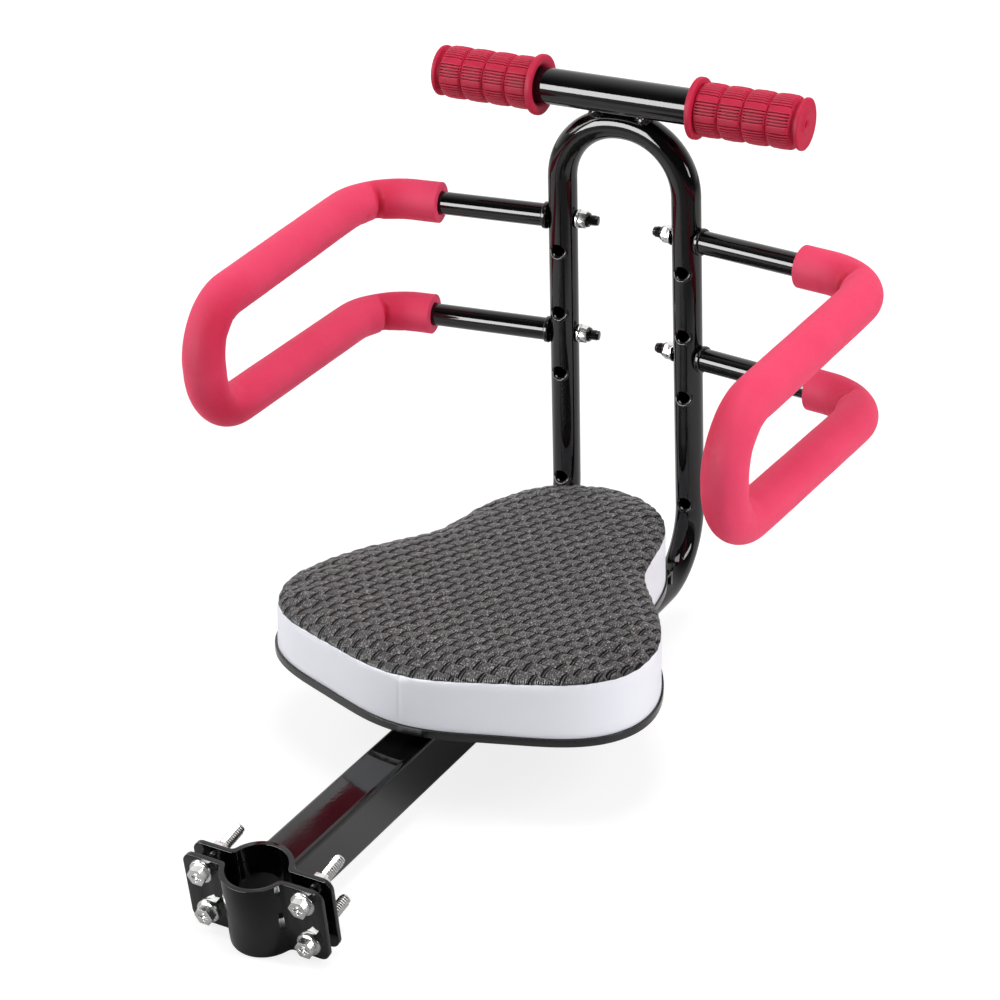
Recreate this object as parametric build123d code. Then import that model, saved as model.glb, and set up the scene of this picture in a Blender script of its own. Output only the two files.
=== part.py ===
"""Child's bicycle seat that clamps to the seat tube, with a hoop, a handlebar and two padded guard rails.

The origin is the centre of the clamp's bore. +Z is up, +Y points from the clamp to the hoop, which is the
way the child looks, and X runs along the handlebar. All sizes are millimetres and degrees.
"""
from build123d import *
import math
import os

os.makedirs("parts", exist_ok=True)

# Fits shared by all pieces
bolt_play = 0.3
weld_gap = 0.1
foam_play = 0.3

# Clamp of two pressed straps around the bicycle's seat tube
clamp_bore_radius = 17.0
clamp_wall = 3.0
clamp_height = 46.0
clamp_ear_reach = 43.0
clamp_ear_gap = 7.0
clamp_ear_corner = 6.0
clamp_bend_radius = 3.5
clamp_lean = 9.0

# Clamp fasteners
clamp_bolt_radius = 3.0
clamp_bolt_length = 37.0
clamp_bolt_offset = 31.5
clamp_bolt_spacing = 28.0
clamp_flange_radius = 7.3
clamp_flange_thickness = 1.6
clamp_hex_across = 10.0
clamp_hex_height = 4.4
clamp_recess_length = 6.0
clamp_recess_width = 1.5
clamp_recess_depth = 2.4
clamp_nut_height = 5.0
clamp_washer_radius = 6.4
clamp_washer_thickness = 1.2

# Beam of rectangular tube between the clamp and the seat
beam_width = 27.0
beam_height = 32.6
beam_rise = 2.0
beam_wall = 2.0
beam_corner = 3.0
beam_end = 410.0

# Hoop of round tube, with two feet under the seat
hoop_tube_radius = 9.25
hoop_wall = 1.5
hoop_crown_y = 422.2
hoop_crown_height = 308.0
hoop_crown_radius = 41.2
hoop_crown_half_width = 41.7
hoop_foot_half_width = 45.4
hoop_foot_radius = 41.0
hoop_foot_end = 268.0
hoop_lean = 4.5
hoop_hole_radius = 4.6
hoop_hole_drop = 20.5
hoop_hole_pitch = 42.8
hoop_hole_count = 3
hoop_low_hole_height = 57.0

# Handlebar tube on the crown, and its weld beads
handlebar_radius = 11.1
handlebar_wall = 1.8
handlebar_half_length = 118.0
handlebar_set_back = 7.0
weld_bead_radius = 5.6
weld_bead_offset = 15.5

# Rubber grips
grip_inner_end = 51.0
grip_end_wall = 3.7
grip_flange_radius = 18.7
grip_flange_thickness = 4.2
grip_cap_radius = 15.4
grip_cap_thickness = 2.2
grip_neck_radius = 13.7
grip_neck_length = 1.0
grip_body_radius = 16.2
grip_waist_radius = 14.9
grip_segments = 4
grip_rib_height = 0.9
grip_rib_blocks = 6
grip_ribs_in_block = 4
grip_rib_angle = 11.0
grip_rib_width_angle = 5.6
grip_vent_radius = 1.8

# Guard rails of round tube, one bent piece on each side
guard_tube_radius = 7.3
guard_wall = 1.2
guard_crown_drop = 68.0
guard_arm_spacing = 79.6
guard_front_upper_drop = 11.5
guard_front_lower_drop = 1.4
guard_half_width = 174.3
guard_front_half_width = 166.2
guard_front_upper_y = 204.0
guard_front_lower_y = 210.0
guard_sweep = 8.5
guard_side_bend_radius = 36.0
guard_front_bend_share = 0.475
guard_collar_radius = 8.6
guard_collar_thickness = 3.0

# Foam sleeves on the guard rails
guard_foam_radius = 13.1
guard_foam_upper_start = 124.0
guard_foam_lower_start = 133.0

# Guard fasteners through the hoop's legs
guard_stud_radius = 3.0
guard_stud_in_rail = 18.0
guard_stud_past_nut = 7.5
guard_nut_across = 10.0
guard_nut_height = 5.0
guard_washer_radius = 6.2
guard_washer_thickness = 1.4

# Seat cushion: a rounded outline with two rear lobes and a nose, as waves around a centre
seat_centre_y = 275.0
seat_mean_radius = 116.3
seat_tail_wave = -11.5
seat_length_wave = 16.6
seat_lobe_wave = 19.6
seat_square_wave = 0.8
seat_shoulder_wave = -1.8
seat_ripple_wave = 1.6
seat_flank_wave = -1.6
seat_outline_points = 36
seat_board_bottom = 27.5
seat_board_thickness = 4.6
seat_board_lip = 3.2
seat_band_height = 30.5
seat_band_wall = 1.5
seat_cover_height = 4.0
seat_cover_round = 3.4
seat_ridge_pitch = 7.9
seat_ridge_width = 6.2
seat_ridge_top_width = 2.8
seat_ridge_height = 0.9
seat_ridge_margin = 8.0
seat_ridge_sink = 0.4

# Cross channels between the frame and the seat board
channel_width = 24.0
channel_wall = 2.0
channel_front_y = 300.0
channel_rear_y = 384.0

# Screws from the channels into the seat board
seat_screw_radius = 3.0
seat_screw_offset = 25.0
seat_screw_bite = 3.6
seat_screw_head_across = 10.0
seat_screw_head_height = 4.0


def save(shape, node):
    """Writes one piece, or one group of like pieces, to its own file."""
    export_step(shape, "parts/" + node + ".step")


def group(solids):
    """Separate solids that belong to one node."""
    return Compound(children=[piece for solid in solids for piece in solid.solids()])


def mirrored(shape):
    """The same piece on the other side of the object's middle plane."""
    return mirror(shape, about=Plane.YZ)


def rod(start, end, radius):
    """A round bar between two points."""
    axis = Vector(*end) - Vector(*start)
    return extrude(Plane(origin=start, z_dir=axis) * Circle(radius), axis.length)


def bent(corners, bends, section):
    """A round section drawn along straight runs, with an arc at each inner corner."""
    pieces = []
    here = corners[0]
    for before, corner, after, bend in zip(corners, corners[1:], corners[2:], bends):
        go_in = (corner - before).normalized()
        go_out = (after - corner).normalized()
        angle = go_in.get_angle(go_out)
        start = corner - go_in * bend * math.tan(math.radians(angle / 2))
        end = corner + go_out * bend * math.tan(math.radians(angle / 2))
        turn = go_in.cross(go_out).normalized()
        hub = Axis(start + turn.cross(go_in) * bend, turn)
        pieces.append(extrude(Plane(origin=here, z_dir=go_in) * section, (start - here).length))
        pieces.append(revolve(Plane(origin=start, z_dir=go_in) * section, hub, angle))
        here = end
    last_run = corners[-1] - here
    pieces.append(extrude(Plane(origin=here, z_dir=last_run) * section, last_run.length))
    return pieces[0].fuse(*pieces[1:])


def hexagon(across, height):
    """A hexagon bar that stands on the ground plane."""
    return extrude(RegularPolygon(across / 2, 6, major_radius=False), height)


# Places that several pieces share
clamp_outer_radius = clamp_bore_radius + clamp_wall
clamp_place = Rot(X=clamp_lean)
beam_top = beam_rise + beam_height / 2
foot_height = beam_top - hoop_tube_radius
board_top = seat_board_bottom + seat_board_thickness
band_top = board_top + seat_band_height
guard_upper_height = hoop_crown_height - guard_crown_drop
guard_lower_height = guard_upper_height - guard_arm_spacing
guard_front_upper_height = guard_upper_height - guard_front_upper_drop
guard_front_lower_height = guard_lower_height - guard_front_lower_drop
guard_front_bend_radius = guard_front_bend_share * (guard_front_upper_height - guard_front_lower_height)


def leg_y(height):
    """How far from the clamp the hoop's leaning plane is, at a height."""
    return hoop_crown_y + (hoop_crown_height - height) * math.tan(math.radians(hoop_lean))


def leg_x(height):
    """Half the distance between the hoop's legs, which spread a little downwards."""
    share = (hoop_crown_height - height) / (hoop_crown_height - foot_height)
    return hoop_crown_half_width + (hoop_foot_half_width - hoop_crown_half_width) * share


def leg_point(height):
    """A point on the axis of the hoop's right leg."""
    return Vector(leg_x(height), leg_y(height), height)


# Clamp straps
def near(vertex, x, y):
    """Whether a corner of a strap's section lies at a place on either side."""
    return abs(abs(vertex.X) - x) < weld_gap and abs(vertex.Y - y) < weld_gap


def clamp_half():
    """The strap behind the seat tube, before it leans."""
    face = clamp_ear_gap / 2
    ring = Circle(clamp_outer_radius)
    ears = Pos(Y=face + clamp_wall / 2) * Rectangle(2 * clamp_ear_reach, clamp_wall)
    behind = (Align.CENTER, Align.MIN)
    rear = Pos(Y=face) * Rectangle(4 * clamp_ear_reach, 2 * clamp_ear_reach, align=behind)
    profile = ((ring + ears) - Circle(clamp_bore_radius)) & rear
    back = face + clamp_wall
    root = math.sqrt(clamp_outer_radius ** 2 - back ** 2)
    lip = math.sqrt(clamp_bore_radius ** 2 - face ** 2)
    bends = [v for v in profile.vertices() if near(v, root, back) or near(v, lip, face)]
    profile = fillet(bends, clamp_bend_radius)
    strap = extrude(profile, clamp_height / 2, both=True)
    edges = strap.edges().filter_by(Axis.Y)
    corners = [e for e in edges if abs(e.center().X) > clamp_ear_reach - weld_gap]
    strap = fillet(corners, clamp_ear_corner)
    for x, z in clamp_bolt_places():
        strap -= rod((x, 0, z), (x, clamp_outer_radius, z), clamp_bolt_radius + bolt_play)
    return strap


def clamp_bolt_places():
    """Where the four clamp bolts pass through the ears."""
    half = clamp_bolt_spacing / 2
    return [(x, z) for x in (-clamp_bolt_offset, clamp_bolt_offset) for z in (half, -half)]


def clamp_bolt():
    """A bolt along +Y with a flanged hexagon head and a cross recess, its flange's inner face at zero."""
    shank = extrude(Circle(clamp_bolt_radius), -clamp_bolt_length)
    flange = extrude(Circle(clamp_flange_radius), clamp_flange_thickness, taper=20)
    head = Pos(Z=clamp_flange_thickness) * hexagon(clamp_hex_across, clamp_hex_height)
    crown = clamp_flange_thickness + clamp_hex_height
    slot = Box(clamp_recess_length, clamp_recess_width, 2 * clamp_recess_depth)
    bolt = shank + flange + head
    for turn in (0, 90):
        bolt -= Pos(Z=crown) * Rot(Z=turn) * slot
    return Rot(X=90) * bolt


def ring_piece(outer, inner, thickness):
    """A flat washer along +Y that starts at zero."""
    return Rot(X=-90) * extrude(Circle(outer) - Circle(inner), thickness)


def nut_piece(across, height, bore):
    """A hexagon nut along +Y that starts at zero."""
    return Rot(X=-90) * (hexagon(across, height) - extrude(Circle(bore), height))


rear_strap = clamp_half()
clamp_rear_half = clamp_place * rear_strap
clamp_front_half = clamp_place * mirror(rear_strap, about=Plane.XZ)
ear_back = clamp_ear_gap / 2 + clamp_wall
washer_back = ear_back + clamp_washer_thickness
clamp_thread = clamp_bolt_radius + weld_gap
clamp_bolts = [clamp_place * Pos(x, -ear_back, z) * clamp_bolt() for x, z in clamp_bolt_places()]
clamp_washer = ring_piece(clamp_washer_radius, clamp_bolt_radius + bolt_play, clamp_washer_thickness)
clamp_washers = [clamp_place * Pos(x, ear_back, z) * clamp_washer for x, z in clamp_bolt_places()]
clamp_nut = nut_piece(clamp_hex_across, clamp_nut_height, clamp_thread)
clamp_nuts = [clamp_place * Pos(x, washer_back, z) * clamp_nut for x, z in clamp_bolt_places()]


# Beam, cut to the clamp's round back
def support_beam():
    """The rectangular tube, with its near end fitted to the leaning strap."""
    outer = RectangleRounded(beam_width, beam_height, beam_corner)
    inner_width = beam_width - 2 * beam_wall
    inner_height = beam_height - 2 * beam_wall
    inner = RectangleRounded(inner_width, inner_height, beam_corner - beam_wall)
    tube = Pos(Z=beam_rise) * Rot(X=-90) * extrude(outer - inner, beam_end)
    cope = Cylinder(clamp_outer_radius + weld_gap, 2 * clamp_height)
    return tube - clamp_place * cope


# Hoop
crown_y = leg_y(hoop_crown_height)
foot_corner = leg_point(foot_height)
crown_corner = leg_point(hoop_crown_height)
hoop_right = [Vector(foot_corner.X, hoop_foot_end, foot_height), foot_corner, crown_corner]
hoop_left = [Vector(-p.X, p.Y, p.Z) for p in reversed(hoop_right)]
hoop_radii = [hoop_foot_radius, hoop_crown_radius, hoop_crown_radius, hoop_foot_radius]
hoop_corners = hoop_right + hoop_left
hoop_solid = bent(hoop_corners, hoop_radii, Circle(hoop_tube_radius))


def hole_heights():
    """Heights of the cross holes in each leg."""
    first = guard_upper_height - hoop_hole_drop
    row = [first - i * hoop_hole_pitch for i in range(hoop_hole_count)]
    return row + [hoop_low_hole_height]


# Guard rails
sweep_slope = math.tan(math.radians(guard_sweep))


def arm_point(height, x):
    """A point on a guard arm's axis, at a distance from the middle plane."""
    root = leg_point(height)
    return Vector(x, root.Y - (x - root.X) * sweep_slope, height)


def guard_tube(upper_start, lower_start, outer, inner):
    """A tube on the right rail's axis, from the upper arm round the front to the lower arm."""
    corners = [
        arm_point(guard_upper_height, upper_start),
        arm_point(guard_upper_height, guard_half_width),
        Vector(guard_front_half_width, guard_front_upper_y, guard_front_upper_height),
        Vector(guard_front_half_width, guard_front_lower_y, guard_front_lower_height),
        arm_point(guard_lower_height, guard_half_width),
        arm_point(guard_lower_height, lower_start),
    ]
    front_bends = [guard_front_bend_radius, guard_front_bend_radius]
    bends = [guard_side_bend_radius] + front_bends + [guard_side_bend_radius]
    return bent(corners, bends, Circle(outer) - Circle(inner))


def arm_place(height, x):
    """A place on an arm's axis, with +Y of the place pointing back to the hoop's leg."""
    return Pos(arm_point(height, x)) * Rot(Z=90 - guard_sweep)


guard_heights = (guard_upper_height, guard_lower_height)
collar_gap = hoop_tube_radius + weld_gap
collar_start = {z: leg_x(z) + collar_gap for z in guard_heights}
rail_start = {z: collar_start[z] + guard_collar_thickness for z in guard_heights}
washer_face = {z: leg_x(z) - collar_gap for z in guard_heights}
nut_face = {z: washer_face[z] - guard_washer_thickness for z in guard_heights}
stud_end = {z: nut_face[z] - guard_nut_height - guard_stud_past_nut for z in guard_heights}


def stud(height):
    """The threaded stud from inside the rail, through the leg, past the nut."""
    outer = arm_point(height, rail_start[height] + guard_stud_in_rail)
    return rod(arm_point(height, stud_end[height]), outer, guard_stud_radius)


def hoop_tube():
    """The bent tube with its cross holes and the holes for the guard studs."""
    section = Circle(hoop_tube_radius) - Circle(hoop_tube_radius - hoop_wall)
    tube = bent(hoop_corners, hoop_radii, section)
    for height in hole_heights():
        axis = leg_point(height)
        reach = 2 * hoop_tube_radius
        hole = rod(axis - Vector(0, reach, 0), axis + Vector(0, reach, 0), hoop_hole_radius)
        tube -= hole
        tube -= mirrored(hole)
    for height in guard_heights:
        inside = arm_point(height, leg_x(height) - 2 * hoop_tube_radius)
        outside = arm_point(height, leg_x(height) + 2 * hoop_tube_radius)
        hole = rod(inside, outside, guard_stud_radius + bolt_play)
        tube -= hole
        tube -= mirrored(hole)
    return tube


def guard_rail():
    """The right rail's tube."""
    upper_start = rail_start[guard_upper_height]
    lower_start = rail_start[guard_lower_height]
    return guard_tube(upper_start, lower_start, guard_tube_radius, guard_tube_radius - guard_wall)


def guard_foam():
    """The right rail's sleeve, with open ends."""
    bore = guard_tube_radius + foam_play
    return guard_tube(guard_foam_upper_start, guard_foam_lower_start, guard_foam_radius, bore)


def guard_collar(height):
    """The stepped plug that closes a rail's end, drilled for the stud."""
    start = arm_point(height, collar_start[height])
    face = arm_point(height, rail_start[height])
    inside = arm_point(height, rail_start[height] + guard_stud_in_rail)
    plug = rod(start, face, guard_collar_radius)
    plug += rod(face, inside, guard_tube_radius - guard_wall - weld_gap)
    return plug - rod(start, inside, guard_stud_radius + weld_gap)


def guard_washer(height):
    """A washer against the leg's inner side."""
    outer = arm_point(height, washer_face[height])
    inner = arm_point(height, nut_face[height])
    return rod(outer, inner, guard_washer_radius) - rod(outer, inner, guard_stud_radius + bolt_play)


def guard_nut(height):
    """A hexagon nut against the washer."""
    nut = nut_piece(guard_nut_across, guard_nut_height, guard_stud_radius + weld_gap)
    return arm_place(height, nut_face[height]) * nut


def both_sides(maker):
    """One piece at each of the four places where a rail meets the hoop."""
    right = [maker(height) for height in guard_heights]
    return right + [mirrored(piece) for piece in right]


# Handlebar
handlebar_reach = handlebar_radius + hoop_tube_radius + weld_gap
handlebar_lift = math.sqrt(handlebar_reach ** 2 - handlebar_set_back ** 2)
handlebar_centre = Vector(0, crown_y - handlebar_set_back, hoop_crown_height + handlebar_lift)
handlebar_place = Pos(handlebar_centre) * Rot(Y=90)


def bar(half_length, radius):
    """A round bar on the handlebar's axis."""
    return handlebar_place * Cylinder(radius, 2 * half_length)


handlebar_tube = bar(handlebar_half_length, handlebar_radius)
handlebar_tube -= bar(handlebar_half_length, handlebar_radius - handlebar_wall)


def handlebar_weld():
    """The right bead in the throat between the handlebar and the hoop's crown."""
    drop = hoop_crown_radius - math.sqrt(hoop_crown_radius ** 2 - weld_bead_offset ** 2)
    crown = Vector(weld_bead_offset, crown_y, hoop_crown_height - drop)
    bar_side = Vector(weld_bead_offset, handlebar_centre.Y, handlebar_centre.Z)
    share = (hoop_tube_radius + (bar_side - crown).length - handlebar_radius) / 2
    throat = crown + (bar_side - crown).normalized() * share
    bead = Pos(throat) * Sphere(weld_bead_radius)
    return bead - bar(handlebar_half_length, handlebar_radius) - hoop_solid


# Grips
def grip_profile():
    """Half section of the grip's outside, along the handlebar and out from its axis."""
    outer_end = handlebar_half_length + grip_end_wall
    body_start = grip_inner_end + grip_flange_thickness
    neck_end = outer_end - grip_cap_thickness
    body_end = neck_end - grip_neck_length
    pitch = (body_end - body_start) / grip_segments
    shoulder = pitch / grip_segments
    points = [(0, grip_inner_end), (grip_flange_radius, grip_inner_end), (grip_flange_radius, body_start)]
    for i in range(grip_segments):
        start = body_start + i * pitch
        points.append((grip_waist_radius, start))
        points.append((grip_body_radius, start + shoulder))
        points.append((grip_body_radius, start + pitch - shoulder))
    points += [(grip_waist_radius, body_end), (grip_neck_radius, body_end)]
    points += [(grip_neck_radius, neck_end), (grip_cap_radius, neck_end)]
    points += [(grip_cap_radius, outer_end), (0, outer_end)]
    return points, body_start, body_end


def grip():
    """The right grip: a flange, four barrel segments with blocks of ribs, and an end cap."""
    points, body_start, body_end = grip_profile()
    outline = make_face(Plane.XZ * Polyline(*points, close=True))
    turned = revolve(outline, Axis.Z)
    root = grip_body_radius - grip_rib_height
    block_angle = 360 / grip_rib_blocks
    cutter = Pos(Z=body_start) * extrude(Circle(grip_flange_radius) - Circle(root), body_end - body_start)
    rib = Rectangle(2 * grip_flange_radius, 2 * root * math.sin(math.radians(grip_rib_width_angle / 2)))
    for block in range(grip_rib_blocks):
        for i in range(grip_ribs_in_block):
            turn = block * block_angle + i * grip_rib_angle
            blade = Pos(X=grip_flange_radius) * rib
            cutter -= Pos(Z=body_start) * Rot(Z=turn) * extrude(blade, body_end - body_start)
    shape = turned - cutter
    shape -= Pos(Z=grip_inner_end) * extrude(
        Circle(handlebar_radius + weld_gap), handlebar_half_length - grip_inner_end
    )
    shape -= Pos(Z=handlebar_half_length) * extrude(Circle(grip_vent_radius), grip_end_wall)
    return handlebar_place * shape


# Seat
def seat_outline(grow):
    """The cushion's outline seen from above, moved outwards by a distance."""
    points = []
    for i in range(seat_outline_points):
        angle = 2 * math.pi * i / seat_outline_points
        radius = seat_mean_radius + grow
        radius += seat_tail_wave * math.cos(angle)
        radius += seat_length_wave * math.cos(2 * angle)
        radius += seat_lobe_wave * math.cos(3 * angle)
        radius += seat_square_wave * math.cos(4 * angle)
        radius += seat_shoulder_wave * math.cos(5 * angle)
        radius += seat_ripple_wave * math.cos(6 * angle)
        radius += seat_flank_wave * math.cos(7 * angle)
        points.append((radius * math.sin(angle), seat_centre_y + radius * math.cos(angle)))
    return make_face(Spline(*points, periodic=True))


def slab(grow, bottom, thickness):
    """A flat piece with the cushion's outline."""
    return Pos(Z=bottom) * extrude(seat_outline(grow), thickness)


def seat_ridges(top):
    """Rows of low ridges across the cover, trimmed to a margin inside its edge."""
    half = seat_ridge_width / 2
    crest = seat_ridge_top_width / 2
    section = Polyline(
        (-half, -seat_ridge_sink), (half, -seat_ridge_sink), (half, 0),
        (crest, seat_ridge_height), (-crest, seat_ridge_height), (-half, 0), close=True,
    )
    reach = seat_mean_radius + abs(seat_length_wave) + abs(seat_lobe_wave)
    row = extrude(Plane.YZ * make_face(section), reach, both=True)
    count = int(reach / seat_ridge_pitch)
    rows = [Pos(0, seat_centre_y + i * seat_ridge_pitch, top) * row for i in range(-count, count + 1)]
    field = slab(-seat_ridge_margin, top - seat_ridge_sink, seat_ridge_sink + seat_ridge_height)
    return [piece for ridge in rows for piece in (ridge & field).solids()]


def seat_top_cover():
    """The woven cover panel, with a rounded edge and raised rows."""
    panel = slab(0, band_top, seat_cover_height)
    panel = fillet(panel.faces().sort_by(Axis.Z)[-1].edges(), seat_cover_round)
    for ridge in seat_ridges(band_top + seat_cover_height):
        panel += ridge
    return panel


def screw_places():
    """Where the seat screws pass through the channels."""
    sides = (-seat_screw_offset, seat_screw_offset)
    return [(x, y) for y in (channel_front_y, channel_rear_y) for x in sides]


def seat_board():
    """The flat board under the cushion, drilled for the seat screws."""
    board = slab(seat_board_lip, seat_board_bottom, seat_board_thickness)
    hole = extrude(Circle(seat_screw_radius + weld_gap), seat_screw_bite)
    for x, y in screw_places():
        board -= Pos(x, y, seat_board_bottom) * hole
    return board


def seat_channel(y):
    """An open channel across the beam and the hoop's feet."""
    length = 2 * (hoop_foot_half_width + hoop_tube_radius)
    height = seat_board_bottom - beam_top
    base = (Align.CENTER, Align.CENTER, Align.MIN)
    shape = Box(length, channel_width, height, align=base)
    shape -= Box(length, channel_width - 2 * channel_wall, height - channel_wall, align=base)
    for side in (-seat_screw_offset, seat_screw_offset):
        shape -= Pos(X=side) * Cylinder(seat_screw_radius + bolt_play, height, align=base)
    return Pos(0, y, beam_top) * shape


def seat_screw():
    """A hexagon screw that points up, with its head's upper face at zero."""
    shank = extrude(Circle(seat_screw_radius), channel_wall + seat_screw_bite)
    return shank + hexagon(seat_screw_head_across, -seat_screw_head_height)


screw_seat = seat_board_bottom - channel_wall
foam_inset = seat_band_wall + foam_play
side_band = slab(0, board_top, seat_band_height) - slab(-seat_band_wall, board_top, seat_band_height)
right_rail = guard_rail()
right_foam = guard_foam()
right_grip = grip()
right_weld = handlebar_weld()

save(clamp_rear_half, "clamp_rear_half")
save(clamp_front_half, "clamp_front_half")
save(group(clamp_bolts), "clamp_bolts")
save(group(clamp_washers), "clamp_washers")
save(group(clamp_nuts), "clamp_nuts")
save(support_beam(), "support_beam")
save(hoop_tube(), "hoop_tube")
save(handlebar_tube, "handlebar_tube")
save(group([right_weld, mirrored(right_weld)]), "handlebar_welds")
save(right_grip, "grip_right")
save(mirrored(right_grip), "grip_left")
save(right_rail, "guard_rail_right")
save(mirrored(right_rail), "guard_rail_left")
save(right_foam, "guard_foam_right")
save(mirrored(right_foam), "guard_foam_left")
save(group(both_sides(guard_collar)), "guard_end_plugs")
save(group(both_sides(stud)), "guard_studs")
save(group(both_sides(guard_washer)), "guard_washers")
save(group(both_sides(guard_nut)), "guard_nuts")
save(seat_channel(channel_front_y), "seat_channel_front")
save(seat_channel(channel_rear_y), "seat_channel_rear")
save(seat_board(), "seat_board")
save(slab(-foam_inset, board_top, seat_band_height), "seat_foam")
save(side_band, "seat_side_band")
save(seat_top_cover(), "seat_top_cover")
save(group([Pos(x, y, screw_seat) * seat_screw() for x, y in screw_places()]), "seat_screws")
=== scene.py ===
"""Looks of a child's bicycle seat: woven cushion, foam guards, ribbed rubber grips and a gloss black frame.

Metres, in the part's own frame: the origin is the clamp's bore, +Y points to the hoop and +Z is up.
"""
import math
import bmesh
import bpy
from mathutils import Matrix, Vector, noise


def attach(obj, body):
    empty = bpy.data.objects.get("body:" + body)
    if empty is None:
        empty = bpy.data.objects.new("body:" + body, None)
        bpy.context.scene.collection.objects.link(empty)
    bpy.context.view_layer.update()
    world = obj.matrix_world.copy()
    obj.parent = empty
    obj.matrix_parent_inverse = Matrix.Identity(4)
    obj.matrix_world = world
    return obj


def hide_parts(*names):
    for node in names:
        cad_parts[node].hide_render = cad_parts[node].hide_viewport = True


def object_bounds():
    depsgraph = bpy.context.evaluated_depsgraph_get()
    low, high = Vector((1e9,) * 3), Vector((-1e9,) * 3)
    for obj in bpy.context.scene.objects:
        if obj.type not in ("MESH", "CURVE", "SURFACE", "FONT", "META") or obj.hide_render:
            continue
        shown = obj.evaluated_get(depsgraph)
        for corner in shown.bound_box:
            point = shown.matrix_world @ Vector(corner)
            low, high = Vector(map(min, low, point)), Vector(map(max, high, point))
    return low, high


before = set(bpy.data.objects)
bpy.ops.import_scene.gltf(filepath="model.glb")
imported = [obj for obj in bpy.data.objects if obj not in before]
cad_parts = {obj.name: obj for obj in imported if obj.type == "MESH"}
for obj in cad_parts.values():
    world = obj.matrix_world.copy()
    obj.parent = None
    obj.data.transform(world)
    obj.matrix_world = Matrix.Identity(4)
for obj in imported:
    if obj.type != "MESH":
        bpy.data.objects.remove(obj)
cad_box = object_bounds()

MM = 0.001

# Sizes shared with the part's source, in millimetres and degrees
clamp_lean = 9.0
clamp_bolt_places = [(x, z) for x in (-31.5, 31.5) for z in (14.0, -14.0)]
clamp_thread_start = 13.0
clamp_thread_end = 30.0
hoop_crown_y = 422.2
hoop_crown_height = 308.0
hoop_crown_half_width = 41.7
hoop_foot_half_width = 45.4
hoop_foot_height = 9.05
hoop_lean = 4.5
hoop_tube_radius = 9.25
hoop_hole_heights = (219.5, 176.7, 133.9, 57.0)
handlebar_y = 415.2
handlebar_height = 327.2
grip_inner_end = 51.0
grip_outer_end = 121.7
guard_upper_height = 240.0
guard_lower_height = 160.4
guard_front_upper_height = 228.5
guard_front_lower_height = 159.0
guard_half_width = 174.3
guard_front_half_width = 166.2
guard_front_upper_y = 204.0
guard_front_lower_y = 210.0
guard_sweep = 8.5
guard_side_bend = 36.0
guard_front_bend = 33.0
foam_radius = 13.1
foam_bore = 7.7
foam_upper_start = 124.0
foam_lower_start = 133.0
seat_centre_y = 275.0
seat_mean_radius = 116.3
seat_waves = {1: -11.5, 2: 16.6, 3: 19.6, 4: 0.8, 5: -1.8, 6: 1.6, 7: -1.6}
seat_board_top = 32.1
seat_seam_height = 62.6

# Lean of the cushion's top and layout of its weave, read from the photo
seat_roll = 1.9
weave_cell_width = 10.9
weave_row_height = 7.9
weave_turn = -3.5
weave_slit_curve = 0.13


# Number helpers
def per(size):
    """The texture scale for a feature of a real size in millimetres."""
    return 1000.0 / size


def bell(reach, width):
    """A smooth bump: 1 in the middle, falling to nothing a few widths away."""
    return math.exp(-(reach / width) ** 2)


def clamped(value):
    return min(1.0, max(0.0, value))


# Modelling helpers
def only(obj):
    """Makes one object the only selected one, and the active one."""
    bpy.ops.object.select_all(action="DESELECT")
    obj.select_set(True)
    bpy.context.view_layer.objects.active = obj
    return obj


def edit(obj, kind="EDGE"):
    """Opens one object for editing, with everything selected."""
    only(obj)
    bpy.ops.object.mode_set(mode="EDIT")
    bpy.ops.mesh.select_mode(type=kind)
    bpy.ops.mesh.select_all(action="SELECT")


def close_edit():
    bpy.ops.object.mode_set(mode="OBJECT")


def choose_faces(obj, test):
    """Selects, while editing, the faces whose middle passes a test."""
    mesh = bmesh.from_edit_mesh(obj.data)
    for face in mesh.faces:
        face.select_set(bool(test(face.calc_center_median())))
    mesh.select_flush_mode()
    bmesh.update_edit_mesh(obj.data)


def choose_edges(obj, test):
    """Selects, while editing, only the edges that pass a test."""
    bpy.ops.mesh.select_all(action="DESELECT")
    mesh = bmesh.from_edit_mesh(obj.data)
    for edge in mesh.edges:
        if test(edge):
            edge.select_set(True)
    bmesh.update_edit_mesh(obj.data)


def extruded(move):
    """Draws the selected edges out by a move, while editing."""
    bpy.ops.mesh.extrude_region_move(TRANSFORM_OT_translate={"value": move})


def resized(scale, centre):
    bpy.ops.transform.resize(value=scale, center_override=centre)


def apply(obj, kind, **settings):
    """Adds one modifier and applies it."""
    only(obj)
    modifier = obj.modifiers.new(kind.lower(), kind)
    for key, value in settings.items():
        setattr(modifier, key, value)
    bpy.ops.object.modifier_apply(modifier=modifier.name)


def outward(obj):
    """Merges doubles and turns all faces outwards."""
    edit(obj, "FACE")
    bpy.ops.mesh.remove_doubles(threshold=0.01 * MM)
    bpy.ops.mesh.normals_make_consistent(inside=False)
    close_edit()


def smooth(obj, degrees=35):
    only(obj)
    bpy.ops.object.shade_smooth_by_angle(angle=math.radians(degrees))


def settle(obj):
    """Puts an object's place into its mesh."""
    only(obj)
    bpy.ops.object.transform_apply(location=True, rotation=True, scale=True)


def circle(name, columns, radius, location, rotation=(0, 0, 0)):
    """A ring of edges to draw out, with its place in its mesh."""
    bpy.ops.object.select_all(action="DESELECT")
    bpy.ops.mesh.primitive_circle_add(vertices=columns, radius=radius * MM, location=location, rotation=rotation)
    obj = bpy.context.object
    obj.name = name
    settle(obj)
    return obj


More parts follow.
